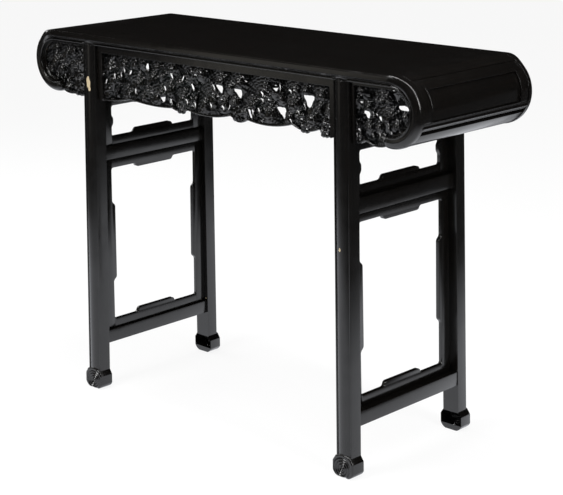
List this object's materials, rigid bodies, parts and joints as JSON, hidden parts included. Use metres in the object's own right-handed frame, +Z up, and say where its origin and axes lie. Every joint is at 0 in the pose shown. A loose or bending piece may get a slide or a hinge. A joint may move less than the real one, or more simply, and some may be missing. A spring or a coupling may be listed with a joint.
{
  "type": "altar table",
  "caption": "Altar table with a scroll-ended top, pierced and carved aprons, and splayed legs joined by side frames with shaped openings.",
  "frame": {"origin": "middle of the footprint, on the floor", "axes": "+X along the table, -Y towards the front, +Z up"},
  "size_m": [1.154, 0.392, 0.84],
  "materials": {
    "top_wood": "black lacquered hardwood, glossy",
    "carved_wood": "carved hardwood, black lacquer, glossy on the ridges",
    "frame_wood": "black lacquered hardwood, satin",
    "inner_wood": "dark stained hardwood, matt"
  },
  "bodies": {
    "root": {"apron_front": "carved_wood", "apron_rear": "carved_wood", "batten_centre": "inner_wood", "batten_left": "inner_wood", "batten_right": "inner_wood", "end_bay_front_left": "carved_wood", "end_bay_front_right": "carved_wood", "end_bay_rear_left": "carved_wood", "end_bay_rear_right": "carved_wood", "end_lower_rail_left": "top_wood", "end_lower_rail_right": "top_wood", "end_panel_left": "top_wood", "end_panel_right": "top_wood", "end_stile_front_left": "top_wood", "end_stile_front_right": "top_wood", "end_stile_rear_left": "top_wood", "end_stile_rear_right": "top_wood", "end_upper_rail_left": "top_wood", "end_upper_rail_right": "top_wood", "head_rail_left": "frame_wood", "head_rail_right": "frame_wood", "leg_front_left": "frame_wood", "leg_front_right": "frame_wood", "leg_rear_left": "frame_wood", "leg_rear_right": "frame_wood", "lower_strip_bottom_left": "frame_wood", "lower_strip_bottom_right": "frame_wood", "lower_strip_front_left": "frame_wood", "lower_strip_front_right": "frame_wood", "lower_strip_rear_left": "frame_wood", "lower_strip_rear_right": "frame_wood", "lower_strip_top_left": "frame_wood", "lower_strip_top_right": "frame_wood", "mid_rail_left": "frame_wood", "mid_rail_right": "frame_wood", "scroll_band_front_left": "top_wood", "scroll_band_front_right": "top_wood", "scroll_band_rear_left": "top_wood", "scroll_band_rear_right": "top_wood", "scroll_lip_left": "top_wood", "scroll_lip_right": "top_wood", "stretcher_left": "frame_wood", "stretcher_right": "frame_wood", "top_front_rail": "top_wood", "top_left_end_rail": "top_wood", "top_panel": "top_wood", "top_rear_rail": "top_wood", "top_right_end_rail": "top_wood", "upper_rail_left": "frame_wood", "upper_rail_right": "frame_wood", "upper_strip_bottom_left": "frame_wood", "upper_strip_bottom_right": "frame_wood", "upper_strip_front_left": "frame_wood", "upper_strip_front_right": "frame_wood", "upper_strip_rear_left": "frame_wood", "upper_strip_rear_right": "frame_wood", "upper_strip_top_left": "frame_wood", "upper_strip_top_right": "frame_wood"}
  },
  "joints": []
}
